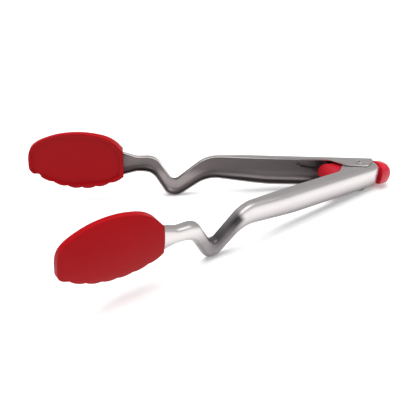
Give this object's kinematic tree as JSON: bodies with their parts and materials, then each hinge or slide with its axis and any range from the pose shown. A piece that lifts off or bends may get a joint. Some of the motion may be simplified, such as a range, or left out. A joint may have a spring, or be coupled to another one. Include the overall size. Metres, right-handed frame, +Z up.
{
  "type": "spring loaded kitchen tongs",
  "caption": "Sprung kitchen tongs: pressed steel arms with standing feet, scalloped silicone spoon heads, and a push button lock at the hinge.",
  "frame": {"origin": "middle of the open tongs on the table plane, under the centre of the bounding box", "axes": "+Z up from the table; +X along the tongs from the heads towards the hinge and button; the far arm is on +Y, the near arm on -Y; the hinge axis leans from +Z towards +X by the resting tilt"},
  "size_m": [0.3064, 0.161, 0.0665],
  "materials": {
    "brushed_steel": "satin brushed stainless sheet",
    "red_silicone": "matte moulded silicone",
    "plain_steel": "plain rolled steel",
    "spring_wire": "drawn spring wire",
    "rivet_steel": "turned stainless",
    "washer_nylon": "natural nylon",
    "red_nylon": "satin moulded nylon",
    "dark_nylon": "dark moulded nylon",
    "red_button": "semi-gloss moulded nylon"
  },
  "bodies": {
    "core": {"hinge_rivet": "rivet_steel", "top_washer": "washer_nylon", "bottom_washer": "washer_nylon", "coil_bush": "washer_nylon", "lower_core": "red_nylon", "upper_core": "red_nylon", "core_screws": "rivet_steel", "torsion_spring": "spring_wire", "return_spring": "spring_wire"},
    "far_side": {"far_arm": "brushed_steel", "far_head": "red_silicone", "far_catch": "plain_steel"},
    "near_side": {"near_arm": "brushed_steel", "near_head": "red_silicone", "near_catch": "plain_steel"},
    "button": {"button_cap": "red_button", "plunger": "dark_nylon", "lock_bolt": "plain_steel", "bolt_pin": "plain_steel"},
    "rotor": {"click_rotor": "washer_nylon"}
  },
  "joints": [
    {"name": "far_swing", "type": "hinge", "parent": "core", "child": "far_side", "pos_m": [0.12073, 0, 0.01426], "axis": [0.0899, 0, 0.996], "range_deg": [0, 15.1], "stiffness_Nm_per_rad": 1.2, "springref_deg": -20.05, "deforming": ["torsion_spring"]},
    {"name": "near_swing", "type": "hinge", "parent": "core", "child": "near_side", "pos_m": [0.12073, 0, 0.01426], "axis": [0.0899, 0, 0.996], "range_deg": [-15.1, 0], "stiffness_Nm_per_rad": 1.2, "springref_deg": 20.05, "deforming": ["torsion_spring"]},
    {"name": "button_press", "type": "slide", "parent": "core", "child": "button", "axis": [-0.996, 0, 0.0899], "range_m": [0, 0.0032], "stiffness_N_per_m": 900, "springref_m": -0.003, "deforming": ["return_spring"]},
    {"name": "rotor_turn", "type": "hinge", "parent": "button", "child": "rotor", "pos_m": [0.10907, 0, 0.01853], "axis": [-0.996, 0, 0.0899], "range_deg": [0, 45]}
  ],
  "couplings": [
    {"joint": "near_swing", "follows": "far_swing", "ratio": -1},
    {"joint": "rotor_turn", "follows": "button_press", "rad_per_m": 245.41}
  ]
}
